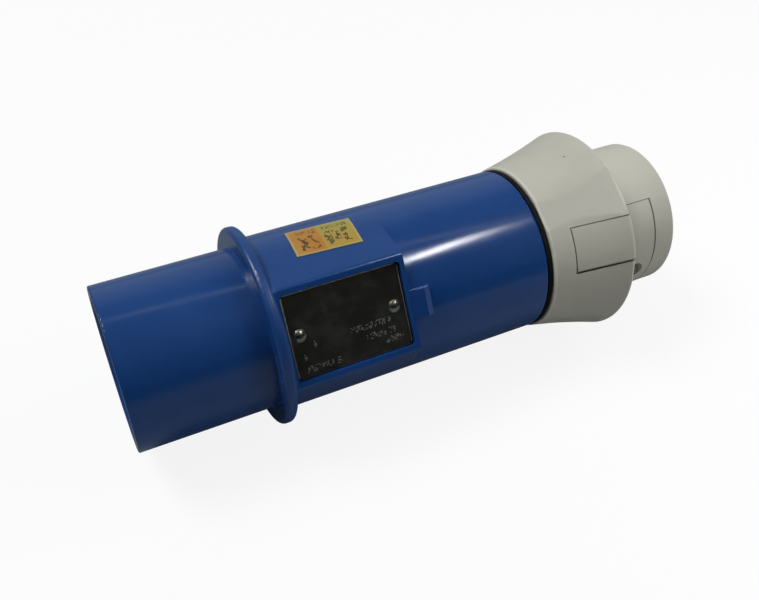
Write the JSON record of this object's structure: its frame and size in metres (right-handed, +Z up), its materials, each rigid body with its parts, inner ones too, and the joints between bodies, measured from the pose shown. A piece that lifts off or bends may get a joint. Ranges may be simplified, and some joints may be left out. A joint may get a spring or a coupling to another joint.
{
  "type": "industrial pin and sleeve plug",
  "caption": "Round industrial plug with pins inside a blue sleeve, a flanged body with a riveted nameplate, a flared grey union ring and a clamping cable cap.",
  "frame": {"origin": "centre of the sleeve's mouth, on the plug's axis", "axes": "+X along the plug's axis from the mouth of the sleeve to the cable end, +Z up as it lies on its flange and union ring, nameplate facing -Y and 30 degrees upwards"},
  "size_m": [0.1608, 0.0594, 0.0588],
  "materials": {
    "blue_moulding": "smooth moulded blue plastic, lightly glossy",
    "grey_moulding": "fine satin light grey plastic",
    "carrier_moulding": "black thermoset moulding",
    "retainer_moulding": "off-white insulating plastic",
    "plate_metal": "dark patinated sheet with bright worn edges",
    "rivet_metal": "domed rivet heads, dull bright",
    "sticker_film": "printed film in orange and yellow fields",
    "pin_brass": "turned brass",
    "screw_steel": "zinc-plated steel",
    "seal_rubber": "black rubber"
  },
  "bodies": {
    "plug_body": {"housing": "blue_moulding", "nameplate": "plate_metal", "nameplate_rivets": "rivet_metal", "inspection_sticker": "sticker_film", "pin_carrier": "carrier_moulding", "line_pin": "pin_brass", "neutral_pin": "pin_brass", "earth_pin": "pin_brass", "pin_retainer": "retainer_moulding", "retainer_screws": "screw_steel", "terminal_screws": "screw_steel", "carrier_seal": "seal_rubber", "locking_ring": "carrier_moulding", "body_gasket": "seal_rubber", "cable_cap": "grey_moulding", "cable_seal": "seal_rubber", "seal_washer": "screw_steel", "pressure_ring": "carrier_moulding", "clamp_cover": "grey_moulding", "clamp_nut": "pin_brass"},
    "ring_carrier": {"slip_washer": "retainer_moulding"},
    "union_ring": {"union_ring": "grey_moulding"},
    "lock_tongue": {"lock_tongue": "grey_moulding"},
    "clamp": {"clamp_screw": "screw_steel", "clamp_shoe": "carrier_moulding"}
  },
  "joints": [
    {"name": "ring_travel", "type": "slide", "parent": "plug_body", "child": "ring_carrier", "axis": [1, 0, 0], "range_m": [0, 0.0075]},
    {"name": "ring_turn", "type": "hinge", "parent": "ring_carrier", "child": "union_ring", "pos_m": [0.128, 0, 0], "axis": [1, 0, 0], "range_deg": [0, 900]},
    {"name": "tongue_press", "type": "slide", "parent": "union_ring", "child": "lock_tongue", "axis": [0, 0.866, -0.5], "range_m": [0, 0.001], "stiffness_N_per_m": 500},
    {"name": "clamp_release", "type": "slide", "parent": "plug_body", "child": "clamp", "axis": [0, -0.9816, -0.1908], "range_m": [0, 0.003]}
  ],
  "couplings": [
    {"joint": "ring_travel", "follows": "ring_turn", "m_per_rad": 0.00047746}
  ]
}
